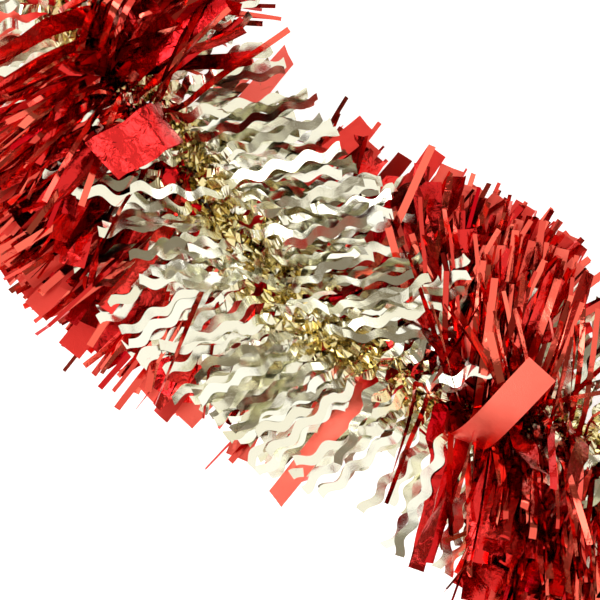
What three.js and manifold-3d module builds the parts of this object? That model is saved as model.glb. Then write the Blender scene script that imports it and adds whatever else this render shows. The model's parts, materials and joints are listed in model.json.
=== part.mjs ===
import * as THREE from 'three';
import Module from 'manifold-3d';
import { mergeVertices } from 'three/addons/utils/BufferGeometryUtils.js';

// A metallic tinsel garland, laid on a table in an open ring.
// Two core wires twist together and pinch three layers of cut film between them. The wavy
// champagne film fans out on one side of the core, the narrow red film on the other, and the
// wide red film lies between the two. Each film's solid holds its strips gathered into bunches.
// The core is divided into equal lengths, each of one whole colour turn, so that the garland
// can be bent where two lengths meet.
// Millimetres, +Z up, standing on z = 0.

// the whole garland
const garlandLength = 1800;
const lengthCount = 8;
const ringRadius = 360;          // from the ring's middle to the core
const ringStart = 85.25;         // degrees round the ring from +X, where the garland begins
const coreHeight = 60;           // the fringe under the core is pressed down to this
const bareCore = 8;              // core left free at each end of a length, for bending

// the fringe
const fringeReach = 70;
const innerReach = 24;           // at the ends of a length
const shoulderReach = 66;
const shoulderLength = 26;       // over which the fringe grows from innerReach to shoulderReach
const stationCount = 9;          // cross-sections between the two shoulders
const bunchCount = 5;            // bunches of strips in each half of the fringe
const bunchWidth = 4;            // degrees, at a bunch's tips
const gapReach = 8;              // how far the gaps between the bunches reach in
const filmEdge = 10;             // degrees from the film's plane to a half's first tip
const wideFilmEdge = 3.5;        // degrees from the film's plane to the wide film's tips
const pinchWidth = 2.2;          // half of the flat stretch under the wires
const wideFilmHalf = 0.4;        // half the wide film's thickness at the core
const halfBase = 0.75;           // from the middle of the core to a half's flat side

const coreZone = 10;             // an outline's points closer than this keep their size
const sameReach = 0.01;          // points whose distances differ by less are equally far out

// the core wires
const wireRadius = 0.5;
const wireOffset = 2.5;          // from the middle of the core
const wireBore = 1.35;           // the channel through the fringe, to its corners
const wireBorePoints = 6;
const wireSteps = 14;
const wireEnd = 1.5;             // gap from a wire's end to the bend

// the ferrules that close the ends of the core
const ferruleRadius = 4.2;
const ferruleBore = 3.4;
const ferruleDepth = 6.6;
const ferruleCap = 2;
const ferruleChamfer = 0.8;
const ferruleSides = 14;
const tabThickness = 1.6;
const tabRadius = 4.2;
const eyeRadius = 2.2;
const eyeDistance = 6.5;         // from the end of the core to the middle of the eye
const eyeSides = 7;              // on each half turn of the tab and its eye

// the cord loops that the garland hangs from
const loopRadius = 0.9;
const loopHalfWidth = 12;
const loopHalfHeight = 22;
const loopSteps = 26;
const cordPoints = 6;

const lengthStep = garlandLength / lengthCount;
const mergeDistance = 1e-4;
const turn = 2 * Math.PI;
const up = new THREE.Vector3(0, 0, 1);

const champagne = { color: 0xd8cfa8, roughness: 0.25, metalness: 1 };
const brightRed = { color: 0xc2141c, roughness: 0.25, metalness: 1 };
const deepRed = { color: 0x9c0c16, roughness: 0.2, metalness: 1 };
const steel = { color: 0x9a9a98, roughness: 0.35, metalness: 1 };
const brass = { color: 0xc9a24a, roughness: 0.3, metalness: 1 };
const goldCord = { color: 0xbfa566, roughness: 0.6, metalness: 0.4 };

const wasm = await Module();
wasm.setup();

// A point of the core and the directions of its cross-section, at a distance along a length.
function coreAt(distance) {
  const around = distance / ringRadius;
  const outward = new THREE.Vector3(Math.cos(around), Math.sin(around), 0);
  const twist = (turn * distance) / lengthStep;
  const middle = outward.clone().multiplyScalar(ringRadius).addScaledVector(up, coreHeight);
  const filmSide = up.clone().multiplyScalar(Math.cos(twist));
  filmSide.addScaledVector(outward, Math.sin(twist));
  const filmPlane = outward.clone().multiplyScalar(Math.cos(twist));
  filmPlane.addScaledVector(up, -Math.sin(twist));
  return { middle, filmPlane, filmSide };
}

// How far the fringe stands out from the core, at a distance along a length.
function reachAt(distance) {
  const fromEnd = Math.min(distance, lengthStep - distance) - bareCore;
  if (fromEnd < shoulderLength) {
    return THREE.MathUtils.lerp(innerReach, shoulderReach, fromEnd / shoulderLength);
  }
  const towardsMiddle = (fromEnd - shoulderLength) / (lengthStep / 2 - bareCore - shoulderLength);
  const swell = Math.sin((towardsMiddle * Math.PI) / 2);
  return THREE.MathUtils.lerp(shoulderReach, fringeReach, swell);
}

// The distances along a length where the fringe has a cross-section.
function stations() {
  const first = bareCore + shoulderLength;
  const gap = (lengthStep - 2 * first) / (stationCount + 1);
  const between = Array.from({ length: stationCount + 2 }, (_, n) => first + gap * n);
  const shoulder = [bareCore, bareCore + shoulderLength / 2];
  const farShoulder = shoulder.map((distance) => lengthStep - distance).reverse();
  return [...shoulder, ...between, ...farShoulder];
}

// A body from its triangles' corners, with its faces turned outwards.
function bodyOf(corners) {
  let volume = 0;
  for (let n = 0; n < corners.length; n += 3) {
    const [a, b, c] = corners.slice(n, n + 3);
    volume += a.dot(b.clone().cross(c));
  }
  if (volume < 0) {
    for (let n = 0; n < corners.length; n += 3) {
      [corners[n + 1], corners[n + 2]] = [corners[n + 2], corners[n + 1]];
    }
  }
  const geometry = new THREE.BufferGeometry().setFromPoints(corners);
  geometry.computeVertexNormals();
  return geometry;
}

// Which of two points of an outline a wall's faces are split from: the one nearer the core.
// Along the rim it is always the first, which keeps the rim of a twisted body smooth.
function splitsFrom(point, other) {
  const further = point.length() - other.length();
  if (Math.abs(further) > sameReach) return further < 0;
  return point.length() > coreZone || point.x > other.x;
}

// The wall between successive rings. Each four-sided face is split from one corner to the
// opposite corner of the next ring, by a rule that makes neighbouring twisted walls match.
function wallBetween(rings, outline) {
  const corners = [];
  for (let k = 0; k + 1 < rings.length; k += 1) {
    for (let j = 0; j < outline.length; j += 1) {
      const next = (j + 1) % outline.length;
      const [a, b] = [rings[k][j], rings[k][next]];
      const [c, d] = [rings[k + 1][next], rings[k + 1][j]];
      if (splitsFrom(outline[j], outline[next])) {
        corners.push(a, b, c, a, c, d);
      } else {
        corners.push(a, b, d, b, c, d);
      }
    }
  }
  return corners;
}

// A twisted body along a length: the outline is in units of the reach outside the core and in
// millimetres inside it. Nothing goes below the table.
function twistedBody(outline, bores = []) {
  const place = (flat, at, reach) => {
    const scale = flat.length() > coreZone ? reach / fringeReach : 1;
    const point = at.middle.clone();
    point.addScaledVector(at.filmPlane, flat.x * scale);
    point.addScaledVector(at.filmSide, flat.y * scale);
    point.z = Math.max(point.z, 0);
    return point;
  };
  const distances = stations();
  const ringsOf = (flat) => distances.map((distance) => {
    const at = coreAt(distance);
    const reach = reachAt(distance);
    return flat.map((point) => place(point, at, reach));
  });
  const loops = [outline, ...bores];
  const rings = loops.map(ringsOf);
  const corners = loops.flatMap((loop, n) => wallBetween(rings[n], loop));
  const caps = THREE.ShapeUtils.triangulateShape(outline, bores);
  const first = rings.flatMap((ring) => ring[0]);
  const last = rings.flatMap((ring) => ring[ring.length - 1]);
  for (const [a, b, c] of caps) {
    corners.push(first[a], first[c], first[b], last[a], last[b], last[c]);
  }
  return bodyOf(corners);
}

function polar(radius, degrees) {
  const angle = THREE.MathUtils.degToRad(degrees);
  return new THREE.Vector2(radius * Math.cos(angle), radius * Math.sin(angle));
}

// The rim of one half of the fringe: the tips of its bunches, with a gap between neighbours.
function bunches() {
  const pitch = (180 - 2 * filmEdge - bunchWidth) / (bunchCount - 1);
  return Array.from({ length: bunchCount }, (_, n) => {
    const start = filmEdge + pitch * n;
    const end = start + bunchWidth;
    const tips = [polar(fringeReach, start), polar(fringeReach, end)];
    const gap = polar(gapReach, (end + start + pitch) / 2);
    return n < bunchCount - 1 ? [...tips, gap] : tips;
  }).flat();
}

// One half of the fringe, above or below the film's plane, with a channel for its wire.
function fringeHalf(side) {
  const left = new THREE.Vector2(-pinchWidth, halfBase);
  const right = new THREE.Vector2(pinchWidth, halfBase);
  const outline = [...bunches(), left, right];
  const bore = Array.from({ length: wireBorePoints }, (_, n) => {
    const point = polar(wireBore, (-360 * n) / wireBorePoints);
    return point.set(point.x, point.y + wireOffset);
  });
  if (side < 0) {
    [outline, bore].forEach((loop) => loop.forEach((point) => point.negate()));
  }
  return twistedBody(outline, [bore]);
}

// The wide film, which crosses the core flat and spreads into the two gaps between the halves.
function wideFilm() {
  const half = [
    polar(fringeReach, -wideFilmEdge),
    polar(fringeReach, wideFilmEdge),
    new THREE.Vector2(pinchWidth, wideFilmHalf),
    new THREE.Vector2(-pinchWidth, wideFilmHalf),
  ];
  return twistedBody([...half, ...half.map((point) => point.clone().negate())]);
}

class WirePath extends THREE.Curve {
  constructor(side) {
    super();
    this.side = side;
  }

  getPoint(t, target = new THREE.Vector3()) {
    const at = coreAt(THREE.MathUtils.lerp(wireEnd, lengthStep - wireEnd, t));
    return target.copy(at.middle).addScaledVector(at.filmSide, this.side * wireOffset);
  }
}

function roundSection(radius, points) {
  return new THREE.Shape(Array.from({ length: points }, (_, n) => polar(radius, (360 * n) / points)));
}

function coreWire(side) {
  const section = roundSection(wireRadius, cordPoints);
  return new THREE.ExtrudeGeometry(section, { steps: wireSteps, extrudePath: new WirePath(side) });
}

// A closed mesh as a solid that can be joined to another.
function solidOf(geometry) {
  geometry.deleteAttribute('normal');
  geometry.deleteAttribute('uv');
  const merged = mergeVertices(geometry, mergeDistance);
  const order = merged.index.array;
  const whole = order.filter((_, n) => {
    const [a, b, c] = order.slice(n - (n % 3), n - (n % 3) + 3);
    return a !== b && b !== c && c !== a;
  });
  const vertProperties = new Float32Array(merged.getAttribute('position').array);
  const triVerts = new Uint32Array(whole);
  return new wasm.Manifold(new wasm.Mesh({ numProp: 3, vertProperties, triVerts }));
}

function geometryOf(solid) {
  const mesh = solid.getMesh();
  const geometry = new THREE.BufferGeometry();
  geometry.setAttribute('position', new THREE.BufferAttribute(mesh.vertProperties, 3));
  geometry.setIndex(new THREE.BufferAttribute(mesh.triVerts, 1));
  return geometry;
}

// A cup crimped over the core's end, with a flat tab and an eye. Local +X points away from the
// garland, and the origin is the end of the core.
function ferrule() {
  const profile = [
    [0, 0],
    [ferruleBore, 0],
    [ferruleBore, -ferruleDepth],
    [ferruleRadius, -ferruleDepth],
    [ferruleRadius, ferruleCap - ferruleChamfer],
    [ferruleRadius - ferruleChamfer, ferruleCap],
    [0, ferruleCap],
  ].map(([radius, along]) => new THREE.Vector2(radius, along));
  const cup = new THREE.LatheGeometry(profile, ferruleSides).rotateZ(-Math.PI / 2);

  const root = ferruleCap / 2;
  const outline = new THREE.Shape();
  outline.moveTo(root, -ferruleRadius / 2);
  outline.lineTo(eyeDistance, -tabRadius);
  outline.absarc(eyeDistance, 0, tabRadius, -Math.PI / 2, Math.PI / 2);
  outline.lineTo(root, ferruleRadius / 2);
  outline.closePath();
  const eye = new THREE.Path().absarc(eyeDistance, 0, eyeRadius, 0, turn, true);
  outline.holes.push(eye);
  const sheet = { depth: tabThickness, bevelEnabled: false, curveSegments: eyeSides };
  const tab = new THREE.ExtrudeGeometry(outline, sheet);
  tab.rotateX(Math.PI / 2).translate(0, tabThickness / 2, 0);
  return geometryOf(solidOf(cup).add(solidOf(tab)));
}

// An oval of cord that hangs from the eye, which is at the local origin.
function hangingLoop() {
  const section = roundSection(loopRadius, cordPoints).getPoints();
  section.pop();
  const rings = Array.from({ length: loopSteps + 1 }, (_, n) => {
    const angle = (turn * (n % loopSteps)) / loopSteps;
    const [sine, cosine] = [Math.sin(angle), Math.cos(angle)];
    const normal = new THREE.Vector3(0, sine / loopHalfWidth, cosine / loopHalfHeight);
    const middle = new THREE.Vector3(0, loopHalfWidth * sine, loopHalfHeight * (cosine - 1));
    normal.normalize();
    return section.map((point) => {
      const side = new THREE.Vector3(point.x, 0, 0);
      return side.add(middle).addScaledVector(normal, point.y);
    });
  });
  return bodyOf(wallBetween(rings, section));
}

function named(name, geometry, finish) {
  const mesh = new THREE.Mesh(geometry, new THREE.MeshStandardMaterial(finish));
  mesh.name = name;
  return mesh;
}

// One end of the core: local +X points away from the garland.
function coreEnd(name, distance, facing) {
  const around = distance / ringRadius;
  const end = new THREE.Group();
  end.position.set(ringRadius * Math.cos(around), ringRadius * Math.sin(around), coreHeight);
  end.rotation.z = around + (facing * Math.PI) / 2;
  const loop = named(`${name}_hanging_loop`, hangingLoop(), goldCord);
  loop.position.x = eyeDistance;
  end.add(named(`${name}_ferrule`, ferrule(), brass), loop);
  return end;
}

const pieces = [
  ['core_wire_a', coreWire(1), steel],
  ['core_wire_b', coreWire(-1), steel],
  ['wavy_champagne_film', fringeHalf(1), champagne],
  ['wide_red_film', wideFilm(), brightRed],
  ['narrow_red_film', fringeHalf(-1), deepRed],
];

const ring = new THREE.Group();
for (let n = 0; n < lengthCount; n += 1) {
  const length = new THREE.Group();
  length.rotation.z = (n * lengthStep) / ringRadius;
  for (const [name, geometry, finish] of pieces) {
    length.add(named(`${name}_${n + 1}`, geometry, finish));
  }
  ring.add(length);
}
ring.add(coreEnd('start', 0, -1), coreEnd('far', garlandLength, 1));
ring.rotation.z = THREE.MathUtils.degToRad(ringStart);

// The origin is under the middle of the whole garland's box.
const garland = new THREE.Group();
garland.add(ring);
const middle = new THREE.Box3().setFromObject(garland, true).getCenter(new THREE.Vector3());
ring.position.set(-middle.x, -middle.y, 0);

export default garland;
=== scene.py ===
import json
import math

import bpy
import numpy as np
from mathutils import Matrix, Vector


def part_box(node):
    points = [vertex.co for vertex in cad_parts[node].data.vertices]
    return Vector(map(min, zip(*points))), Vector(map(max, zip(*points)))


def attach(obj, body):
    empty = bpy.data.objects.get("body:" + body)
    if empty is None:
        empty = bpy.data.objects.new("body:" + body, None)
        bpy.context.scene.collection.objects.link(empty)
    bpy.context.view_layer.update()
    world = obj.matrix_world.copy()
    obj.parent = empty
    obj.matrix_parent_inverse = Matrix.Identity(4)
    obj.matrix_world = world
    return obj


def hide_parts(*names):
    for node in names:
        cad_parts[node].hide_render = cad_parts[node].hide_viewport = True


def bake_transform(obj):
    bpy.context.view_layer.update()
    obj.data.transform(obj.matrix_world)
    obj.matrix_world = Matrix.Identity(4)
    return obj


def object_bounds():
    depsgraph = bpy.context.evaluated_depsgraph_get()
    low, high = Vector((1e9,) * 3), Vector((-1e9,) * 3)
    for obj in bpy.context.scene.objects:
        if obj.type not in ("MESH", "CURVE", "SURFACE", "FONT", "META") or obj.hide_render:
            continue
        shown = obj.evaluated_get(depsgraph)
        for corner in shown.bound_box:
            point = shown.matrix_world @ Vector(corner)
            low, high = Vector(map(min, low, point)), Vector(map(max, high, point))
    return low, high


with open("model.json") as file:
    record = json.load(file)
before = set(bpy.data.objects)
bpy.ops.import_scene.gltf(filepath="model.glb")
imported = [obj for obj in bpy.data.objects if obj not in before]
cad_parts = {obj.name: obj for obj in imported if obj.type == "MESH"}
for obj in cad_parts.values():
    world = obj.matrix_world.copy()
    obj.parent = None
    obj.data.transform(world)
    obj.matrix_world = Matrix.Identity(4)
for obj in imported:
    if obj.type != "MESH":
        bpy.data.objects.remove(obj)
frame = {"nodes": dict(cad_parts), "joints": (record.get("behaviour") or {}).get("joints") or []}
cadLow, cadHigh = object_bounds()
scene = bpy.context.scene
print("frame loaded")


# the core's line, read from the bends

core = {
    "lengths": 8,
    "bareEnd": 0.008,       # held in the ferrule
    "blendHalf": 0.1,       # on each side of a bend
    "twistDrift": 0.45,     # radians by which the hand twist runs ahead and behind
    "driftTurns": 4,        # colour turns until the drift comes round again
    "twistLinger": 0.2,     # radians by which it lingers with champagne on top
}


def circleThrough(a, b, c):
    d = 2 * (a.x * (b.y - c.y) + b.x * (c.y - a.y) + c.x * (a.y - b.y))
    squares = [p.x * p.x + p.y * p.y for p in (a, b, c)]
    x = (squares[0] * (b.y - c.y) + squares[1] * (c.y - a.y) + squares[2] * (a.y - b.y)) / d
    y = (squares[0] * (c.x - b.x) + squares[1] * (a.x - c.x) + squares[2] * (b.x - a.x)) / d
    return Vector((x, y, a.z))


bends = {joint["name"]: Vector(joint["pos_m"]) for joint in frame["joints"]}
ringMiddle = circleThrough(bends["bend_1"], bends["bend_4"], bends["bend_7"])
firstArm = bends["bend_1"] - ringMiddle
secondArm = bends["bend_2"] - ringMiddle
ringRadius = firstArm.length
lengthAngle = abs(firstArm.xy.angle_signed(secondArm.xy))
lengthStep = ringRadius * lengthAngle
ringStart = math.atan2(firstArm.y, firstArm.x) - lengthAngle
garlandLength = lengthStep * core["lengths"]
upward = np.array([0.0, 0.0, 1.0])


def unit(vectors):
    return vectors / np.linalg.norm(vectors, axis=-1, keepdims=True)


def twistAt(distances):
    even = 2 * math.pi * distances / lengthStep
    drift = core["twistDrift"] * np.sin(even / core["driftTurns"])
    return even - drift - core["twistLinger"] * np.sin(even)


# a point of the core at each distance, and the directions there
def coreAt(distances):
    around = ringStart + distances / ringRadius
    outward = np.stack([np.cos(around), np.sin(around), 0 * around], -1)
    along = np.stack([-np.sin(around), np.cos(around), 0 * around], -1)
    twist = twistAt(distances)
    filmSide = upward * np.cos(twist)[:, None] + outward * np.sin(twist)[:, None]
    filmPlane = outward * np.cos(twist)[:, None] - upward * np.sin(twist)[:, None]
    middle = np.array(ringMiddle) + outward * ringRadius
    return middle, outward, along, filmPlane, filmSide


# how each piece moves: the end pieces go with the end lengths, and the ones across a bend are
# baked in place and follow no length
def carry(piece, number):
    if number == 0:
        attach(piece, "length_1")
    elif number == core["lengths"]:
        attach(piece, f"length_{number}")
    else:
        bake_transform(piece)


# the pieces are centred on the bends, so each one stands for parts of two lengths
def lengthOf(number):
    return min(max(number, 1), core["lengths"])


def spanOf(number, bareEnd):
    first = max(bareEnd, (number - 0.5) * lengthStep)
    last = min(garlandLength - bareEnd, (number + 0.5) * lengthStep)
    return first, last


# camera, floor and light

view = {
    "around": math.radians(230.64),   # round the ring, from +X
    "fromMiddle": 0.3607,
    "height": 1.0,                    # above the core
    "width": 0.2727,                  # seen at the core
}
floorLook = {"size": 14, "below": 0.0004, "colour": (0.93, 0.93, 0.925, 1),
             "rough": 0.9, "glow": 0.70}
surroundings = {"strength": 0.30, "tint": (1.0, 0.86, 0.64, 1),
                "backdrop": (0.93, 0.93, 0.925, 1)}
softboxes = {
    "overhead": {"place": (0, 0, 1.9), "aim": (0, 0, 0), "size": 4.6, "radiance": 0.95},
    "key_softbox": {"place": (-1.7, -1.0, 1.5), "aim": (-0.2, -0.2, 0.05),
                    "size": 1.0, "radiance": 5.0},
    "fill_softbox": {"place": (1.3, 1.5, 1.0), "aim": (0, 0, 0.05),
                     "size": 0.7, "radiance": 4.0},
}


def makeCamera():
    data = bpy.data.cameras.new("camera")
    data.lens = data.sensor_width * view["height"] / view["width"]
    camera = bpy.data.objects.new("camera", data)
    scene.collection.objects.link(camera)
    camera.location = ringMiddle + Vector((
        view["fromMiddle"] * math.cos(view["around"]),
        view["fromMiddle"] * math.sin(view["around"]),
        view["height"],
    ))
    scene.camera = camera


def makeFloor():
    bpy.ops.mesh.primitive_plane_add(size=floorLook["size"],
                                     location=(0, 0, -floorLook["below"]))
    floor = bpy.context.object
    floor.name = "floor"
    paper = bpy.data.materials.new("paper_floor")
    paper.use_nodes = True
    shader = paper.node_tree.nodes["Principled BSDF"]
    shader.inputs["Base Color"].default_value = floorLook["colour"]
    shader.inputs["Roughness"].default_value = floorLook["rough"]
    shader.inputs["Emission Color"].default_value = (1, 1, 1, 1)
    shader.inputs["Emission Strength"].default_value = floorLook["glow"]
    floor.data.materials.append(paper)


# what is seen behind the floor's edge is pale, whatever light falls from there
def makeSurroundings():
    world = bpy.data.worlds.new("studio")
    world.use_nodes = True
    nodes, link = world.node_tree.nodes, world.node_tree.links.new
    glow = nodes["Background"]
    glow.inputs["Color"].default_value = surroundings["tint"]
    glow.inputs["Strength"].default_value = surroundings["strength"]
    seen = nodes.new("ShaderNodeBackground")
    seen.inputs["Color"].default_value = surroundings["backdrop"]
    rays = nodes.new("ShaderNodeLightPath")
    choice = nodes.new("ShaderNodeMixShader")
    link(rays.outputs["Is Camera Ray"], choice.inputs["Fac"])
    link(glow.outputs["Background"], choice.inputs[1])
    link(seen.outputs["Background"], choice.inputs[2])
    link(choice.outputs["Shader"], nodes["World Output"].inputs["Surface"])
    scene.world = world
    scene.view_settings.view_transform = "Standard"


def makeSoftboxes():
    for name, box in softboxes.items():
        data = bpy.data.lights.new(name, "AREA")
        data.size = box["size"]
        data.energy = box["radiance"] * box["size"] ** 2 * math.pi
        lamp = bpy.data.objects.new(name, data)
        scene.collection.objects.link(lamp)
        lamp.location = box["place"]
        towards = Vector(box["aim"]) - Vector(box["place"])
        lamp.rotation_euler = towards.to_track_quat("-Z", "Y").to_euler()


makeCamera()
makeFloor()
makeSurroundings()
makeSoftboxes()
print("camera, floor and light made")


# parts that the materials share

def newGroup(name, inputs, outputs):
    group = bpy.data.node_groups.new(name, "ShaderNodeTree")
    for label, value in inputs:
        socket = group.interface.new_socket(label, in_out="INPUT", socket_type="NodeSocketFloat")
        socket.default_value = value
    for label in outputs:
        group.interface.new_socket(label, in_out="OUTPUT", socket_type="NodeSocketFloat")
    return group, group.nodes.new("NodeGroupInput"), group.nodes.new("NodeGroupOutput")


def newMaterial(name, metallic):
    material = bpy.data.materials.new(name)
    material.use_nodes = True
    nodes = material.node_tree.nodes
    shader = nodes["Principled BSDF"]
    shader.inputs["Metallic"].default_value = metallic
    return material, nodes, material.node_tree.links.new, shader


def noise(nodes, link, place, scale, detail, distortion):
    texture = nodes.new("ShaderNodeTexNoise")
    link(place, texture.inputs["Vector"])
    link(scale, texture.inputs["Scale"])
    texture.inputs["Detail"].default_value = detail
    texture.inputs["Distortion"].default_value = distortion
    return texture.outputs["Fac"]


# one more layer of relief, as deep as its amount
def relief(nodes, link, value, amount, below):
    layer = nodes.new("ShaderNodeMath")
    layer.operation = "MULTIPLY_ADD"
    link(value, layer.inputs[0])
    link(amount, layer.inputs[1])
    if below is None:
        layer.inputs[2].default_value = 0
    else:
        link(below, layer.inputs[2])
    return layer.outputs[0]


def stretched(nodes, link, value, between):
    spread = nodes.new("ShaderNodeMapRange")
    link(value, spread.inputs["Value"])
    spread.inputs["From Min"].default_value = between[0]
    spread.inputs["From Max"].default_value = between[1]
    return spread


# the first colour may come from another mix
def colourBetween(nodes, link, factor, first, second):
    mix = nodes.new("ShaderNodeMix")
    mix.data_type = "RGBA"
    if isinstance(first, tuple):
        mix.inputs["A"].default_value = (*first, 1)
    else:
        link(first, mix.inputs["A"])
    mix.inputs["B"].default_value = (*second, 1)
    link(factor, mix.inputs["Factor"])
    return mix.outputs["Result"]


def roughen(nodes, link, shader, factor, first, second):
    rough = nodes.new("ShaderNodeMapRange")
    link(factor, rough.inputs["Value"])
    rough.inputs["To Min"].default_value = first
    rough.inputs["To Max"].default_value = second
    link(rough.outputs["Result"], shader.inputs["Roughness"])


def emboss(nodes, link, shader, height, strength, depth):
    bump = nodes.new("ShaderNodeBump")
    bump.inputs["Strength"].default_value = strength
    bump.inputs["Distance"].default_value = depth
    link(height, bump.inputs["Height"])
    link(bump.outputs["Normal"], shader.inputs["Normal"])


# foil

# the root colour near the core is, on the champagne film, a painted gold reflection of the
# crumpled films in one another; on the red films it is a deep red
filmRelief = {"grainDetail": 2, "creaseDetail": 3, "creaseDistortion": 0.6,
              "rootFade": (0.030, 0.012),   # metres from the core, where the root colour starts
              "hazeBetween": (0.35, 0.65)}
# the light colour of the satin and mirror red films is a painted salmon highlight, which each
# strip gets as far as its random tone goes
films = {
    "champagne_film": {"dark": (0.68, 0.65, 0.48), "light": (0.87, 0.88, 0.79),
                       "root": (0.78, 0.67, 0.34), "smooth": 0.08, "hazy": 0.20,
                       "grain": 0.12, "crease": 0.45, "facet": 0.1,
                       "bump": 0.3, "depth": 0.0006},
    "satin_red_film": {"dark": (0.62, 0.015, 0.015), "light": (0.95, 0.17, 0.12),
                       "root": (0.60, 0.01, 0.012), "smooth": 0.28, "hazy": 0.42,
                       "grain": 0.8, "crease": 0.5, "facet": 0.1,
                       "bump": 0.45, "depth": 0.0006},
    "mirror_red_film": {"dark": (0.46, 0.003, 0.008), "light": (0.94, 0.17, 0.11),
                        "root": (0.50, 0.003, 0.008), "smooth": 0.03, "hazy": 0.12,
                        "grain": 0.05, "crease": 0.6, "facet": 0.1,
                        "bump": 0.4, "depth": 0.0008},
    "crumpled_red_film": {"dark": (0.42, 0.002, 0.008), "light": (0.80, 0.05, 0.04),
                          "root": (0.50, 0.003, 0.008), "smooth": 0.02, "hazy": 0.10,
                          "grain": 0.05, "crease": 0.9, "facet": 0.4,
                          "bump": 0.6, "depth": 0.0014},
}


# fine grain, creases and facets of a metallised film; each strip's tone, which on the red films
# also sets its share of a painted salmon highlight; and the root mask, which lays a painted gold
# reflection on the champagne near the core
def filmGroup():
    group, given, out = newGroup(
        "film_surface",
        [("Grain Scale", 2600.0), ("Grain", 0.3), ("Crease Scale", 160.0), ("Crease", 1.0),
         ("Facet Scale", 110.0), ("Facet", 0.2)],
        ["Height", "Tone", "Haze", "Root"])
    nodes, link = group.nodes, group.links.new
    place = nodes.new("ShaderNodeTexCoord").outputs["Object"]
    grain = noise(nodes, link, place, given.outputs["Grain Scale"],
                  filmRelief["grainDetail"], 0)
    crease = noise(nodes, link, place, given.outputs["Crease Scale"],
                   filmRelief["creaseDetail"], filmRelief["creaseDistortion"])
    facet = nodes.new("ShaderNodeTexVoronoi")
    link(place, facet.inputs["Vector"])
    link(given.outputs["Facet Scale"], facet.inputs["Scale"])
    height = relief(nodes, link, grain, given.outputs["Grain"], None)
    height = relief(nodes, link, crease, given.outputs["Crease"], height)
    height = relief(nodes, link, facet.outputs["Distance"], given.outputs["Facet"], height)
    link(height, out.inputs["Height"])

    # each strip's random tone, which on the satin and mirror red films also paints a salmon
    # highlight
    tone = nodes.new("ShaderNodeAttribute")
    tone.attribute_name = "tone"
    link(tone.outputs["Fac"], out.inputs["Tone"])

    # the root mask near the core, where the champagne film takes a painted gold reflection and
    # the red films a deep red
    strip = nodes.new("ShaderNodeUVMap")
    strip.uv_map = "strip"
    split = nodes.new("ShaderNodeSeparateXYZ")
    link(strip.outputs["UV"], split.inputs["Vector"])
    root = stretched(nodes, link, split.outputs["Y"], filmRelief["rootFade"])
    root.interpolation_type = "SMOOTHSTEP"
    link(root.outputs[0], out.inputs["Root"])

    haze = stretched(nodes, link, crease, filmRelief["hazeBetween"])
    link(haze.outputs[0], out.inputs["Haze"])
    return group


def filmMaterial(name):
    look = films[name]
    material, nodes, link, shader = newMaterial(name, 1)
    surface = nodes.new("ShaderNodeGroup")
    surface.node_tree = filmSurface
    surface.inputs["Grain"].default_value = look["grain"]
    surface.inputs["Crease"].default_value = look["crease"]
    surface.inputs["Facet"].default_value = look["facet"]
    # between dark and light by the strip's tone: on the satin and mirror reds the light end is a
    # painted salmon highlight
    toned = colourBetween(nodes, link, surface.outputs["Tone"], look["dark"], look["light"])
    # near the core the root colour takes over: on the champagne film a painted gold reflection
    rooted = colourBetween(nodes, link, surface.outputs["Root"], toned, look["root"])
    link(rooted, shader.inputs["Base Color"])
    roughen(nodes, link, shader, surface.outputs["Haze"], look["smooth"], look["hazy"])
    emboss(nodes, link, shader, surface.outputs["Height"], look["bump"], look["depth"])
    return material


filmSurface = filmGroup()
filmMaterials = {name: filmMaterial(name) for name in films}
print("foil mixed")


# the fringe: each kind of strip is cut flat once, and copies of it are curled along the core

fringe = {
    "lean": 3, "leanSwing": 29,       # degrees along the core
    "leanReach": 0.75,                # how far round the core the champagne's lean holds
    "leanTurn": 3.5,                  # how sharply it then changes over to the red's
    "steepestLean": 62,
    "strayTurn": 80, "strayLean": 35,
    "sideJitter": 0.1,
    "lengths": (0.8, 1.06),           # shortest and longest, against the cut's own length
    "pinch": (0.5, 1.6),              # how far the crumples reach, likewise
    "crumpleRoll": 1.3,
    "flatShaded": 1.3,                # facets stay sharp this far into the crumples
    "swayTurns": (0.5, 1.4),
    "fullFall": 1.05,                 # the furthest that a strip may fall over
    "fromCore": (0.0005, 0.004),      # where the strips start
    "aboveFloor": (0.0004, 0.003),    # the lowest that a strip may lie
    "aboveSolids": 0.008,             # the highest that it may stand
    "toneSpread": 0.22, "toneWander": 0.15,
    "firstSeed": 7, "seedsPerKind": 1000,
}
# how far apart the values that wander along the core are drawn
wanderEvery = {"layer": 0.03, "lean": 0.025, "turn": 0.02, "tone": 0.03, "margin": 0.2}
# where a strip laid over the top keeps the ones beneath it down
pressedFall = 0.8
pressedAt = [
    {"at": 4.50, "outer": False, "halfWidth": 0.030},
    {"at": 3.57, "outer": True, "halfWidth": 0.016},
]

# angles in degrees, shares and falls from 0 to 1, one value of each list per layer of strips;
# strips set one by one are at distances in colour turns
wavyCut = {
    "slot": "champagne_film", "film": "champagne_film", "node": "wavy_champagne_film",
    "width": 0.0048, "widths": (0.95, 1.05), "length": 0.076, "lengthSpread": 0.0025,
    "steps": 52, "across": 1, "wave": 0.0017, "waveLength": 0.0158, "bow": 0,
    "pitch": 0.0050, "side": 1, "pastTop": 0.6,
    "layers": [-60, -40, -18, 4, 26, 48, 72, 98],
    "falls": [0.92, 0.92, 0.92, 0.92, 0.92, 0.88, 0.8, 0.68],
    "shares": [0.65, 0.6, 0.5, 0.45, 0.45, 0.5, 0.6, 0.7],
    "rests": [-0.1, -0.05, 0, 0.02, 0.02, 0.02, 0.02, 0.02], "restSpread": 0.10,
    "layerWander": 6, "layerSpread": 6, "stray": 0.06,
    "leanShare": 1, "leanOwn": 0, "leanWander": 9, "leanSpread": 9,
    "fallSpread": 0.10, "fallPower": 0.5,
    "crumple": 0.62, "crumpleReach": 0.021, "kink": 0.020, "sway": 0.12,
    "turn": 0.20, "turnWander": 0.16, "curl": 0.45, "placed": [],
}
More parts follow.
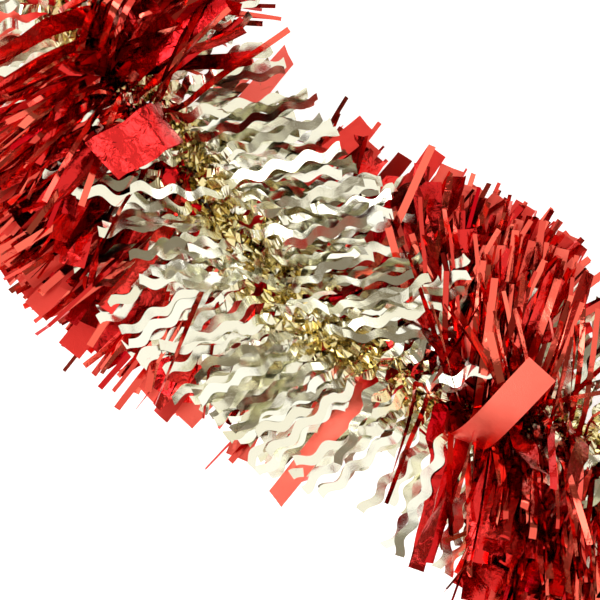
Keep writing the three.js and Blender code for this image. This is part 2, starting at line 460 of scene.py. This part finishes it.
wideCut = {
    "slot": "satin_red_film", "film": "satin_red_film", "node": "wide_red_film",
    "width": 0.0110, "widths": (0.85, 1.15), "length": 0.088, "lengthSpread": 0.002,
    "steps": 14, "across": 2, "wave": 0, "bow": 0.0006,
    "pitch": 0.0120, "side": 1, "pastTop": 0.35,
    "layers": [-78, -62, 128], "falls": [1.0, 0.95, 0.98], "shares": [0.9, 0.8, 0.2],
    "rests": [0.02, 0.02, -0.7], "restSpread": 0.07,
    "layerWander": 5, "layerSpread": 5, "stray": 0.01,
    "leanShare": 0.4, "leanOwn": -8, "leanWander": 10, "leanSpread": 8,
    "fallSpread": 0.06, "fallPower": 0.5,
    "crumple": 0.3, "crumpleReach": 0.020, "kink": 0.015, "sway": 0.08,
    "turn": 0.2, "turnWander": 0.14, "curl": 0.3,
    # these wide strips are given high tones, so they carry most or all of the satin red's
    # painted salmon highlight
    "placed": [
        {"at": 4.45, "outer": False, "up": 120, "lean": 17, "fall": 0.95, "fallPower": 0.9,
         "width": 0.0155, "tone": 1.0},
        {"at": 3.74, "outer": True, "up": 12, "lean": 12, "fall": 0.95, "fallPower": 0.5,
         "width": 0.0150, "tone": 0.8},
        {"at": 3.52, "outer": True, "up": 62, "lean": -18, "fall": 0.9, "fallPower": 0.5,
         "width": 0.0150, "tone": 0.7},
        {"at": 4.52, "outer": False, "up": 55, "lean": -22, "fall": 0.8, "fallPower": 0.5,
         "width": 0.0130, "tone": 0.8},
    ],
}
narrowCut = {
    "slot": "mirror_red_film", "film": "mirror_red_film", "node": "narrow_red_film",
    "width": 0.0020, "widths": (0.65, 1.8), "length": 0.090, "lengthSpread": 0.005,
    "steps": 14, "across": 1, "wave": 0, "bow": 0,
    "pitch": 0.0021, "side": -1, "pastTop": 0.0,
    "layers": [48, 58, 68, 78, 86, 92], "falls": [0.9, 0.85, 0.75, 0.6, 0.5, 0.35],
    "shares": [0.35, 0.75, 0.75, 0.75, 0.7, 0.6],
    "rests": [0.04, 0.04, 0.04, 0.04, 0.04, 0.04], "restSpread": 0.14,
    "layerWander": 8, "layerSpread": 10, "stray": 0.03,
    "leanShare": 0.4, "leanOwn": -8, "leanWander": 14, "leanSpread": 11,
    "fallSpread": 0.20, "fallPower": 0.9,
    "crumple": 0.45, "crumpleReach": 0.018, "kink": 0.02, "sway": 0.08,
    "turn": 0.5, "turnWander": 0.3, "curl": 0.7, "placed": [],
}
broadCut = {
    "slot": "mirror_red_film", "film": "crumpled_red_film", "node": "narrow_red_film",
    "width": 0.0095, "widths": (0.6, 1.35), "length": 0.085, "lengthSpread": 0.004,
    "steps": 20, "across": 2, "wave": 0, "bow": 0.0014,
    "pitch": 0.0080, "side": -1, "pastTop": 0.0,
    "layers": [50, 62, 76, 88], "falls": [0.9, 0.75, 0.6, 0.4],
    "shares": [0.7, 0.8, 0.8, 0.8],
    "rests": [0.04, 0.04, 0.04, 0.04], "restSpread": 0.12,
    "layerWander": 8, "layerSpread": 10, "stray": 0.03,
    "leanShare": 0.4, "leanOwn": -8, "leanWander": 18, "leanSpread": 16,
    "fallSpread": 0.2, "fallPower": 0.9,
    "crumple": 0.5, "crumpleReach": 0.020, "kink": 0.08, "sway": 0.14,
    "turn": 0.5, "turnWander": 0.3, "curl": 0.7,
    "placed": [
        {"at": 3.59, "outer": True, "up": 104, "lean": -6, "fall": 0.72, "fallPower": 0.9,
         "width": 0.0210, "tone": 0.4},
        {"at": 3.50, "outer": False, "up": 60, "lean": 0, "fall": 0.7, "fallPower": 0.9,
         "width": 0.0150, "tone": 0.2},
        {"at": 4.60, "outer": True, "up": 50, "lean": -20, "fall": 0.9, "fallPower": 0.9,
         "width": 0.0150, "tone": 0.3},
    ],
}
cuts = {"wavy_champagne": wavyCut, "wide_red": wideCut, "narrow_red": narrowCut,
        "broad_red": broadCut}


def flatStrip(width, steps, across):
    bpy.ops.object.select_all(action="DESELECT")
    bpy.ops.mesh.primitive_grid_add(x_subdivisions=across, y_subdivisions=steps, size=1)
    cut = bpy.context.object
    corners = np.array([v.co for v in cut.data.vertices])
    faces = np.array([list(p.vertices) for p in cut.data.polygons])
    bpy.data.objects.remove(cut)
    return corners[:, 0] * width, corners[:, 1] + 0.5, faces


# a value that wanders along the core, one row of it for each half of each layer
def wander(draw, roots, spacing):
    margin = wanderEvery["margin"]
    knots = np.arange(-margin, garlandLength + margin + spacing, spacing)
    values = draw.normal(size=(roots["rows"], len(knots)))
    place = (roots["distances"] - knots[0]) / spacing
    low = np.floor(place).astype(int)
    part = place - low
    part = part * part * (3 - 2 * part)
    row = roots["row"]
    return values[row, low] * (1 - part) + values[row, low + 1] * part


# random bends, each kept over a couple of stations
def kinks(draw, count, steps, size):
    coarse = draw.normal(size=(count, steps // 2 + 2, size))
    place = np.arange(steps + 1) / 2
    low = place.astype(int)
    part = (place - low)[None, :, None]
    return coarse[:, low] * (1 - part) + coarse[:, low + 1] * part


# degrees that the strips lean along the core: one way where champagne is on top, the other
# way where red is
def leanAt(distances):
    onTop = np.cos(twistAt(distances)) + fringe["leanReach"]
    return fringe["lean"] + fringe["leanSwing"] * np.tanh(fringe["leanTurn"] * onTop)


# the strips set one by one come first in a piece
def setPlaced(roots, values, key):
    placed = roots["placed"]
    values[:len(placed)] = [strip[key] for strip in placed]


# where each strip leaves the core, and at what angle round it
def drawRoots(draw, cut, first, last):
    rows = 2 * len(cut["layers"])
    perRow = int(round((last - first) / cut["pitch"]))
    row = np.repeat(np.arange(rows), perRow)
    inRow = np.tile(np.arange(perRow), rows)
    kept = draw.random(len(row)) < np.array(cut["shares"])[row // 2]
    row, inRow = row[kept], inRow[kept]
    count = len(row)
    distances = first + (inRow + 0.5) * cut["pitch"]
    distances = distances + draw.uniform(-0.5, 0.5, count) * cut["pitch"]
    right = row % 2 == 0
    roots = {"rows": rows, "row": row, "layer": row // 2, "count": count,
             "distances": distances, "right": right}

    fromPlane = np.array(cut["layers"], float)[roots["layer"]]
    fromPlane = fromPlane + cut["layerWander"] * wander(draw, roots, wanderEvery["layer"])
    fromPlane = fromPlane + cut["layerSpread"] * draw.normal(size=count)
    roots["stray"] = draw.random(count) < cut["stray"]
    turn = fringe["strayTurn"]
    fromPlane = fromPlane + roots["stray"] * draw.uniform(-turn, turn, count)

    roots["placed"] = [strip for strip in cut["placed"]
                       if first <= strip["at"] * lengthStep < last]
    for n, strip in enumerate(roots["placed"]):
        distances[n] = strip["at"] * lengthStep
        right[n] = strip["outer"]
        twist = math.degrees(twistAt(distances[n])) * (1 if strip["outer"] else -1)
        fromPlane[n] = (strip["up"] + twist) * cut["side"]
    fromPlane = np.radians(fromPlane) * cut["side"]
    roots["angle"] = np.where(right, fromPlane, math.pi - fromPlane)
    return roots


def drawLean(draw, cut, roots):
    lean = cut["leanShare"] * leanAt(roots["distances"]) + cut["leanOwn"]
    lean = lean + cut["leanWander"] * wander(draw, roots, wanderEvery["lean"])
    lean = lean + cut["leanSpread"] * draw.normal(size=roots["count"])
    stray = fringe["strayLean"]
    lean = lean + roots["stray"] * draw.uniform(-stray, stray, roots["count"])
    lean = np.clip(lean, -fringe["steepestLean"], fringe["steepestLean"])
    setPlaced(roots, lean, "lean")
    return np.radians(lean)


# a strip falls over towards its own side, unless it already points well past the top
def drawSide(draw, cut, roots, outwards):
    ownSide = np.where(roots["right"], cut["pastTop"], -cut["pastTop"])
    jitter = fringe["sideJitter"] * draw.normal(size=roots["count"])
    side = np.where(outwards + ownSide + jitter > 0, 1.0, -1.0)
    for n, strip in enumerate(roots["placed"]):
        side[n] = 1 if strip["outer"] else -1
    return side


# how far each strip falls over, from 0 to about 1
def drawFall(draw, cut, roots, side):
    fall = np.array(cut["falls"])[roots["layer"]]
    fall = fall + cut["fallSpread"] * draw.normal(size=roots["count"])
    for spot in pressedAt:
        near = (roots["distances"] - spot["at"] * lengthStep) / spot["halfWidth"]
        sameSide = side > 0 if spot["outer"] else side < 0
        fall = fall + pressedFall * np.exp(-near * near) * sameSide
    fall = np.clip(fall, 0, fringe["fullFall"])
    setPlaced(roots, fall, "fall")
    return fall


# the middle line of each strip, and the direction of its width all along it
def drawLines(draw, cut, roots):
    count, steps = roots["count"], cut["steps"]
    middle, outward, along, filmPlane, filmSide = coreAt(roots["distances"])
    lean = drawLean(draw, cut, roots)
    cosine, sine = np.cos(roots["angle"])[:, None], np.sin(roots["angle"])[:, None]
    radial = cosine * filmPlane + sine * filmSide
    outwards = np.sum(radial * outward, -1)
    start = unit(radial - (np.tan(lean) * outwards)[:, None] * along)
    side = drawSide(draw, cut, roots, outwards)
    sideways = unit(side[:, None] * (outward - np.tan(lean)[:, None] * along))
    rest = np.array(cut["rests"])[roots["layer"]]
    rest = rest + cut["restSpread"] * draw.normal(size=count)
    fallen = unit(sideways + upward * rest[:, None])
    fall = drawFall(draw, cut, roots, side)

    length = cut["length"] + cut["lengthSpread"] * draw.normal(size=count)
    shortest, longest = fringe["lengths"]
    length = np.clip(length, shortest * cut["length"], cut["length"] * longest)
    part = np.linspace(0, 1, steps + 1)
    power = np.full(count, cut["fallPower"])
    setPlaced(roots, power, "fallPower")
    bend = fall[:, None] * part[None] ** power[:, None]
    heading = start[:, None] * (1 - bend)[..., None] + fallen[:, None] * bend[..., None]

    # crumpled where the wires pinch it, and lightly waved beyond
    reach = part[None] * length[:, None]
    pinched = cut["crumpleReach"] * draw.uniform(*fringe["pinch"], count)[:, None]
    crumple = cut["crumple"] * np.exp(-((reach / pinched) ** 2)) + cut["kink"]
    heading = heading + crumple[..., None] * kinks(draw, count, steps, 3)
    swayTurns = draw.uniform(*fringe["swayTurns"], count)[:, None]
    swayStart = draw.uniform(0, 1, count)[:, None]
    sway = cut["sway"] * np.sin(2 * math.pi * (part[None] * swayTurns + swayStart))
    heading = unit(heading)
    heading = unit(heading + sway[..., None] * np.cross(heading, acrossFrom(along, heading)))

    flat = acrossFrom(along, heading)
    roll = drawRoll(draw, cut, roots, part)
    roll = roll + fringe["crumpleRoll"] * crumple * kinks(draw, count, steps, 1)[..., 0]
    normal = np.cross(heading, flat)
    flat = flat * np.cos(roll)[..., None] + normal * np.sin(roll)[..., None]

    stride = (length / steps)[:, None, None]
    halfway = (heading[:, 1:] + heading[:, :-1]) / 2
    path = np.concatenate([np.zeros((count, 1, 3)), np.cumsum(halfway, 1) * stride], 1)
    fromCore = draw.uniform(*fringe["fromCore"], count)[:, None]
    path = path + (middle + fromCore * radial)[:, None]
    return path, flat, length


# the core's direction, made square to each heading
def acrossFrom(along, heading):
    shadow = np.sum(along[:, None] * heading, -1, keepdims=True) * heading
    return unit(along[:, None] - shadow)


# how far each strip is turned about its own line
def drawRoll(draw, cut, roots, part):
    turned = cut["turn"] * draw.normal(size=roots["count"])
    turned = turned + cut["turnWander"] * wander(draw, roots, wanderEvery["turn"])
    curl = cut["curl"] * draw.normal(size=roots["count"])
    byHand = len(roots["placed"])
    turned[:byHand] = curl[:byHand] = 0
    return turned[:, None] + curl[:, None] * part[None]


# a random tone for each strip; on the satin and mirror red films it also sets how much painted
# salmon highlight the strip gets
def drawTone(draw, roots):
    tone = 0.5 + fringe["toneSpread"] * draw.normal(size=roots["count"])
    tone = tone + fringe["toneWander"] * wander(draw, roots, wanderEvery["tone"])
    tone = np.clip(tone, 0, 1)
    setPlaced(roots, tone, "tone")
    return tone


# against the width of the flat strip
def drawWidths(draw, cut, roots):
    widths = draw.uniform(*cut["widths"], roots["count"])
    for n, strip in enumerate(roots["placed"]):
        widths[n] = strip["width"] / cut["width"]
    return widths


# the copies of the flat strip, laid along their lines
def stripMesh(name, corners, faces, smooth, tone, place):
    count, size = corners.shape[:2]
    allFaces = (faces[None] + (np.arange(count) * size)[:, None, None]).reshape(-1, 4)
    mesh = bpy.data.meshes.new(name)
    mesh.vertices.add(count * size)
    mesh.vertices.foreach_set("co", corners.reshape(-1).astype(np.float32))
    mesh.loops.add(len(allFaces) * 4)
    mesh.loops.foreach_set("vertex_index", allFaces.reshape(-1).astype(np.int32))
    mesh.polygons.add(len(allFaces))
    mesh.polygons.foreach_set("loop_start", np.arange(0, len(allFaces) * 4, 4, dtype=np.int32))
    mesh.polygons.foreach_set("use_smooth", np.tile(smooth, count))
    mesh.update(calc_edges=True)
    shade = mesh.attributes.new("tone", "FLOAT", "POINT")
    shade.data.foreach_set("value", np.repeat(tone, size).astype(np.float32))
    uv = mesh.uv_layers.new(name="strip")
    place = place.reshape(-1, 2)[allFaces.reshape(-1)]
    uv.data.foreach_set("uv", place.reshape(-1).astype(np.float32))
    return mesh


def stripPiece(name, cut, draw, first, last):
    roots = drawRoots(draw, cut, first, last)
    path, flat, length = drawLines(draw, cut, roots)
    tone = drawTone(draw, roots)
    lowest = draw.uniform(*fringe["aboveFloor"], roots["count"])
    widths = drawWidths(draw, cut, roots)

    count, steps = roots["count"], cut["steps"]
    sideways, down, faces = flatStrip(cut["width"], steps, cut["across"])
    station = np.round(down * steps).astype(int)
    offset = widths[:, None] * sideways[None]
    if cut["wave"]:
        waves = down[None] * length[:, None] / cut["waveLength"]
        phase = 2 * math.pi * (waves + draw.uniform(0, 1, count)[:, None])
        offset = offset + cut["wave"] * np.sin(phase)
    corners = path[:, station] + flat[:, station] * offset[..., None]
    if cut["bow"]:
        normal = np.cross(flat[:, station], np.gradient(path, axis=1)[:, station])
        middleRow = (1 - np.abs(2 * sideways / cut["width"]))[None, :, None]
        bow = cut["bow"] * draw.normal(size=count)[:, None, None]
        corners = corners + unit(normal) * middleRow * bow
    highest = cadHigh.z + fringe["aboveSolids"]
    corners[..., 2] = np.clip(corners[..., 2], lowest[:, None], highest)

    fromRoot = down[faces].mean(1) * cut["length"]
    smooth = fromRoot > fringe["flatShaded"] * cut["crumpleReach"]
    place = np.stack([np.broadcast_to(sideways, (count, len(down))),
                      down[None] * length[:, None]], -1)
    mesh = stripMesh(name, corners, faces, smooth, tone, place)
    piece = bpy.data.objects.new(name, mesh)
    scene.collection.objects.link(piece)
    return piece


def makeFringe():
    for kind, (name, cut) in enumerate(cuts.items()):
        for number in range(core["lengths"] + 1):
            first, last = spanOf(number, core["bareEnd"])
            seed = fringe["seedsPerKind"] * kind + number + fringe["firstSeed"]
            draw = np.random.default_rng(seed)
            piece = stripPiece(f"{name}_strips_{number}", cut, draw, first, last)
            piece.data.materials.append(filmMaterials[cut["film"]])
            carry(piece, number)
            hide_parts(f"{cut['node']}_{lengthOf(number)}")
        print(f"{name} strips made")


makeFringe()


# wires and hanging cords: round rods bent along a line

coreWire = {"radius": 0.0005, "apart": 0.0022, "pitch": 0.012, "stepsPerTurn": 10}
hangingCord = {
    "halfWidth": 0.012, "strands": 3, "strandRadius": 0.0005, "layRadius": 0.00052,
    "turns": 22, "steps": 240,
    "dark": (0.34, 0.24, 0.09), "light": (0.86, 0.74, 0.42), "metallic": 0.7,
    "threadScale": 900, "threadDistortion": 1.5, "threadDetail": 2,
    "rough": 0.6, "smooth": 0.3, "bump": 0.7, "depth": 0.0001,
}
metalRelief = {"scratchDetail": 3, "bloomDetail": 4, "bloomBetween": (0.38, 0.66), "bump": 0.6}
metals = {
    "core_wire": {"bright": (0.52, 0.50, 0.46), "dull": (0.30, 0.28, 0.25),
                  "smooth": 0.22, "rough": 0.45, "depth": 0.00008},
    "ferrule": {"bright": (0.86, 0.68, 0.34), "dull": (0.58, 0.42, 0.18),
                "smooth": 0.16, "rough": 0.38, "depth": 0.00012},
}


# fine scratches and a dull bloom
def drawnMetalGroup():
    group, given, out = newGroup(
        "drawn_metal", [("Scratch Scale", 900.0), ("Bloom Scale", 220.0)], ["Height", "Bloom"])
    nodes, link = group.nodes, group.links.new
    place = nodes.new("ShaderNodeTexCoord").outputs["Object"]
    scratches = noise(nodes, link, place, given.outputs["Scratch Scale"],
                      metalRelief["scratchDetail"], 0)
    link(scratches, out.inputs["Height"])
    bloom = noise(nodes, link, place, given.outputs["Bloom Scale"],
                  metalRelief["bloomDetail"], 0)
    spread = stretched(nodes, link, bloom, metalRelief["bloomBetween"])
    link(spread.outputs[0], out.inputs["Bloom"])
    return group


drawnMetal = drawnMetalGroup()


def metalMaterial(name):
    look = metals[name]
    material, nodes, link, shader = newMaterial(name, 1)
    surface = nodes.new("ShaderNodeGroup")
    surface.node_tree = drawnMetal
    bloom = surface.outputs["Bloom"]
    colour = colourBetween(nodes, link, bloom, look["bright"], look["dull"])
    link(colour, shader.inputs["Base Color"])
    roughen(nodes, link, shader, bloom, look["smooth"], look["rough"])
    emboss(nodes, link, shader, surface.outputs["Height"], metalRelief["bump"], look["depth"])
    return material


# metallic thread laid slantwise round each strand of the cord
def cordMaterial():
    look = hangingCord
    material, nodes, link, shader = newMaterial("loop_cord", look["metallic"])
    place = nodes.new("ShaderNodeTexCoord").outputs["Object"]
    thread = nodes.new("ShaderNodeTexWave")
    thread.bands_direction = "DIAGONAL"
    link(place, thread.inputs["Vector"])
    thread.inputs["Scale"].default_value = look["threadScale"]
    thread.inputs["Distortion"].default_value = look["threadDistortion"]
    thread.inputs["Detail"].default_value = look["threadDetail"]
    raised = thread.outputs["Fac"]
    colour = colourBetween(nodes, link, raised, look["dark"], look["light"])
    link(colour, shader.inputs["Base Color"])
    roughen(nodes, link, shader, raised, look["rough"], look["smooth"])
    emboss(nodes, link, shader, raised, look["bump"], look["depth"])
    return material


def bentRod(name, line, radius, closed):
    curve = bpy.data.curves.new(name, "CURVE")
    curve.dimensions = "3D"
    curve.bevel_depth = radius
    curve.bevel_resolution = 2
    curve.use_fill_caps = not closed
    spline = curve.splines.new("POLY")
    spline.points.add(len(line) - 1)
    spline.use_cyclic_u = closed
    for point, place in zip(spline.points, line):
        point.co = (*place, 1)
    rod = bpy.data.objects.new(name, curve)
    scene.collection.objects.link(rod)
    bpy.ops.object.select_all(action="DESELECT")
    rod.select_set(True)
    bpy.context.view_layer.objects.active = rod
    bpy.ops.object.convert(target="MESH")
    bpy.ops.object.shade_smooth()
    return rod


# the two wires are twisted round each other, and pinch the films between them
def makeWires():
    material = metalMaterial("core_wire")
    for label, phase in (("a", 0.0), ("b", math.pi)):
        for number in range(core["lengths"] + 1):
            first, last = spanOf(number, 0.0)
            steps = int(round((last - first) / coreWire["pitch"] * coreWire["stepsPerTurn"]))
            distances = np.linspace(first, last, steps + 1)
            middle, outward = coreAt(distances)[:2]
            angle = 2 * math.pi * distances / coreWire["pitch"] + phase
            aside = np.cos(angle)[:, None] * outward + np.sin(angle)[:, None] * upward
            line = middle + aside * coreWire["apart"] / 2
            wire = bentRod(f"twisted_wire_{label}_{number}", line, coreWire["radius"], False)
            wire.data.materials.append(material)
            carry(wire, number)
            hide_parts(f"core_wire_{label}_{lengthOf(number)}")
    print("core wires twisted")


# the strands of a loop that hangs from a ferrule's eye
def loopStrands(end, distance):
    cord = hangingCord
    eye = np.array(bends[f"{end}_loop_swing"])
    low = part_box(f"{end}_hanging_loop")[0]
    halfHeight = (eye[2] - low[2]) / 2 - cord["strandRadius"]
    sideways = coreAt(np.array([distance]))[1][0]
    angle = np.arange(cord["steps"]) * 2 * math.pi / cord["steps"]
    sine, cosine = np.sin(angle)[:, None], np.cos(angle)[:, None]
    middle = eye + sideways * sine * cord["halfWidth"]
    middle = middle + upward * (cosine - 1) * halfHeight
    normal = unit(sideways * sine / cord["halfWidth"] + upward * cosine / halfHeight)
    forward = np.cross(sideways, upward)
    strands = []
    for strand in range(cord["strands"]):
        lay = cord["turns"] * angle + 2 * math.pi * strand / cord["strands"]
        aside = np.cos(lay)[:, None] * normal + np.sin(lay)[:, None] * forward
        line = middle + aside * cord["layRadius"]
        strands.append(bentRod(f"{end}_strand_{strand}", line, cord["strandRadius"], True))
    return strands


def makeLoops():
    material = cordMaterial()
    for end, distance in (("start", 0.0), ("far", garlandLength)):
        strands = loopStrands(end, distance)
        bpy.ops.object.select_all(action="DESELECT")
        for strand in strands:
            strand.select_set(True)
        bpy.context.view_layer.objects.active = strands[0]
        bpy.ops.object.join()
        loop = bpy.context.object
        loop.name = f"{end}_cord_loop"
        loop.data.materials.append(material)
        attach(loop, f"{end}_loop")
        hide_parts(f"{end}_hanging_loop")
    print("hanging loops laid")


def finishFerrules():
    material = metalMaterial("ferrule")
    for end in ("start", "far"):
        ferrule = frame["nodes"][f"{end}_ferrule"]
        ferrule.data.materials.clear()
        ferrule.data.materials.append(material)
    print("ferrules finished")


makeWires()
makeLoops()
finishFerrules()
